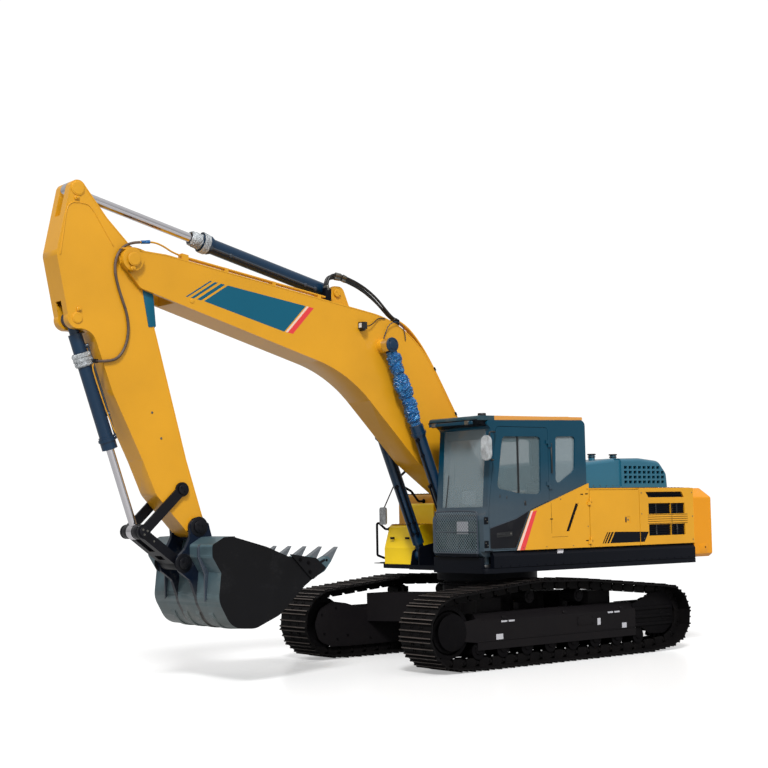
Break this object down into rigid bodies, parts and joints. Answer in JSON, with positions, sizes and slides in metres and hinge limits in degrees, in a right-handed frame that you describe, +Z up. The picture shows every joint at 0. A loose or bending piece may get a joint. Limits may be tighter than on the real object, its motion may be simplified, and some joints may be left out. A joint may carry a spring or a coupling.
{
  "type": "crawler excavator",
  "caption": "Crawler excavator with slewing upper structure, cab, boom, arm and bucket on two tracks, all working joints modelled.",
  "frame": {"origin": "on the ground, on the slewing axis", "axes": "+X forward, towards the boom; +Y to the left, the cab side; +Z up"},
  "size_m": [10.0668, 3.2875, 5.845],
  "materials": {
    "amber_paint": "semi-gloss",
    "orange_paint": "semi-gloss",
    "teal_paint": "semi-gloss",
    "black_paint": "satin",
    "track_steel": "worn",
    "bucket_steel": "worn",
    "tooth_steel": "cast",
    "chrome_rod": "polished",
    "ring_steel": "machined",
    "dark_glass": "clear",
    "seat_fabric": "woven",
    "dark_plastic": "matte",
    "hose_rubber": "matte",
    "engine_grey": "cast",
    "mirror_face": "satin",
    "lamp_body": "satin"
  },
  "bodies": {
    "undercarriage": {"car_body": "black_paint", "slew_ring_inner": "ring_steel", "left_track_frame": "black_paint", "right_track_frame": "black_paint", "left_track": "track_steel", "right_track": "track_steel", "front_idlers": "track_steel", "drive_sprockets": "track_steel", "final_drives": "black_paint", "bottom_rollers": "track_steel", "carrier_rollers": "track_steel"},
    "upper_structure": {"upper_frame": "black_paint", "slew_ring_outer": "black_paint", "counterweight": "orange_paint", "left_rear_panel": "amber_paint", "cab_side_panel": "amber_paint", "fuel_tank": "amber_paint", "hydraulic_tank": "amber_paint", "tool_box": "amber_paint", "cab_shell": "teal_paint", "cab_glass": "dark_glass", "cab_roof": "amber_paint", "operator_seat": "seat_fabric", "cab_controls": "dark_plastic", "engine": "engine_grey", "deck_covers": "amber_paint", "exhaust_pipe": "black_paint", "handrails": "black_paint", "front_guard": "black_paint", "mirrors": "mirror_face"},
    "cab_door": {"cab_door": "teal_paint", "cab_door_glass": "dark_glass"},
    "left_service_door": {"left_service_door": "amber_paint"},
    "right_pump_door": {"right_pump_door": "amber_paint"},
    "engine_hood": {"engine_hood": "teal_paint"},
    "boom": {"boom": "amber_paint", "boom_lamp": "lamp_body", "boom_pipes": "amber_paint", "crest_hoses": "hose_rubber"},
    "arm": {"arm": "amber_paint", "arm_pad": "teal_paint"},
    "bucket": {"bucket": "bucket_steel", "bucket_teeth": "tooth_steel"},
    "side_links": {"side_links": "black_paint"},
    "bucket_link": {"bucket_link": "black_paint"},
    "boom_cylinder_barrels": {"boom_cylinder_barrels": "teal_paint"},
    "boom_cylinder_rods": {"boom_cylinder_rods": "chrome_rod"},
    "arm_cylinder_barrel": {"arm_cylinder_barrel": "teal_paint"},
    "arm_cylinder_rod": {"arm_cylinder_rod": "chrome_rod"},
    "bucket_cylinder_barrel": {"bucket_cylinder_barrel": "teal_paint"},
    "bucket_cylinder_rod": {"bucket_cylinder_rod": "chrome_rod"}
  },
  "joints": [
    {"name": "slew", "type": "hinge", "parent": "undercarriage", "child": "upper_structure", "pos_m": [0, 0, 1.1], "axis": [0, 0, 1], "continuous": true},
    {"name": "boom_lift", "type": "hinge", "parent": "upper_structure", "child": "boom", "pos_m": [0.1, 0, 1.92], "axis": [0, -1, 0], "range_deg": [-60, 31]},
    {"name": "arm_swing", "type": "hinge", "parent": "boom", "child": "arm", "pos_m": [5.72, 0, 4.97], "axis": [0, -1, 0], "range_deg": [-8, 98]},
    {"name": "bucket_curl", "type": "hinge", "parent": "arm", "child": "bucket", "pos_m": [4.83, 0, 1.859], "axis": [0, -1, 0], "range_deg": [-66, 80]},
    {"name": "side_link_turn", "type": "hinge", "parent": "arm", "child": "side_links", "pos_m": [5.035, 0, 2.3], "axis": [0, -1, 0], "range_deg": [-42.88, 51.93]},
    {"name": "bucket_link_turn", "type": "hinge", "parent": "bucket", "child": "bucket_link", "pos_m": [5.045, 0, 1.436], "axis": [0, -1, 0], "range_deg": [-62.13, 51.3]},
    {"name": "boom_cylinder_tilt", "type": "hinge", "parent": "upper_structure", "child": "boom_cylinder_barrels", "pos_m": [0.85, 0, 1.385], "axis": [0, -1, 0], "range_deg": [-63.6, 32.96]},
    {"name": "boom_cylinder_stroke", "type": "slide", "parent": "boom_cylinder_barrels", "child": "boom_cylinder_rods", "axis": [0.3823, 0, 0.9241], "range_m": [-0.9143, 0.4734]},
    {"name": "arm_cylinder_tilt", "type": "hinge", "parent": "boom", "child": "arm_cylinder_barrel", "pos_m": [2.64, 0, 4.84], "axis": [0, -1, 0], "range_deg": [-0.8, 7.5]},
    {"name": "arm_cylinder_stroke", "type": "slide", "parent": "arm_cylinder_barrel", "child": "arm_cylinder_rod", "axis": [0.9719, 0, 0.2355], "range_m": [-1.502, 0.1245]},
    {"name": "bucket_cylinder_tilt", "type": "hinge", "parent": "arm", "child": "bucket_cylinder_barrel", "pos_m": [6.38, 0, 4.252], "axis": [0, -1, 0], "range_deg": [-2.49, 2.97]},
    {"name": "bucket_cylinder_stroke", "type": "slide", "parent": "bucket_cylinder_barrel", "child": "bucket_cylinder_rod", "axis": [-0.3224, 0, -0.9466], "range_m": [-0.5624, 0.4643]},
    {"name": "cab_door_swing", "type": "hinge", "parent": "upper_structure", "child": "cab_door", "pos_m": [0.209, 1.482, 2.3], "axis": [0, 0, -1], "range_deg": [-165, 0]},
    {"name": "service_door_swing", "type": "hinge", "parent": "upper_structure", "child": "left_service_door", "pos_m": [-0.53, 1.502, 1.85], "axis": [0, 0, -1], "range_deg": [0, 100]},
    {"name": "pump_door_swing", "type": "hinge", "parent": "upper_structure", "child": "right_pump_door", "pos_m": [-1.486, -1.502, 1.85], "axis": [0, 0, 1], "range_deg": [0, 100]},
    {"name": "hood_lift", "type": "hinge", "parent": "upper_structure", "child": "engine_hood", "pos_m": [-2.315, 0, 2.275], "axis": [0, -1, 0], "range_deg": [0, 60]}
  ],
  "couplings": [
    {"joint": "side_link_turn", "follows": "bucket_curl", "ratio": 0.634},
    {"joint": "bucket_link_turn", "follows": "bucket_curl", "ratio": -0.759},
    {"joint": "boom_cylinder_tilt", "follows": "boom_lift", "ratio": 1.036},
    {"joint": "boom_cylinder_stroke", "follows": "boom_lift", "m_per_rad": 0.8541},
    {"joint": "arm_cylinder_tilt", "follows": "arm_swing", "ratio": 0.073},
    {"joint": "arm_cylinder_stroke", "follows": "arm_swing", "m_per_rad": -0.8598},
    {"joint": "bucket_cylinder_tilt", "follows": "bucket_curl", "ratio": 0.034},
    {"joint": "bucket_cylinder_stroke", "follows": "bucket_curl", "m_per_rad": -0.3935}
  ]
}
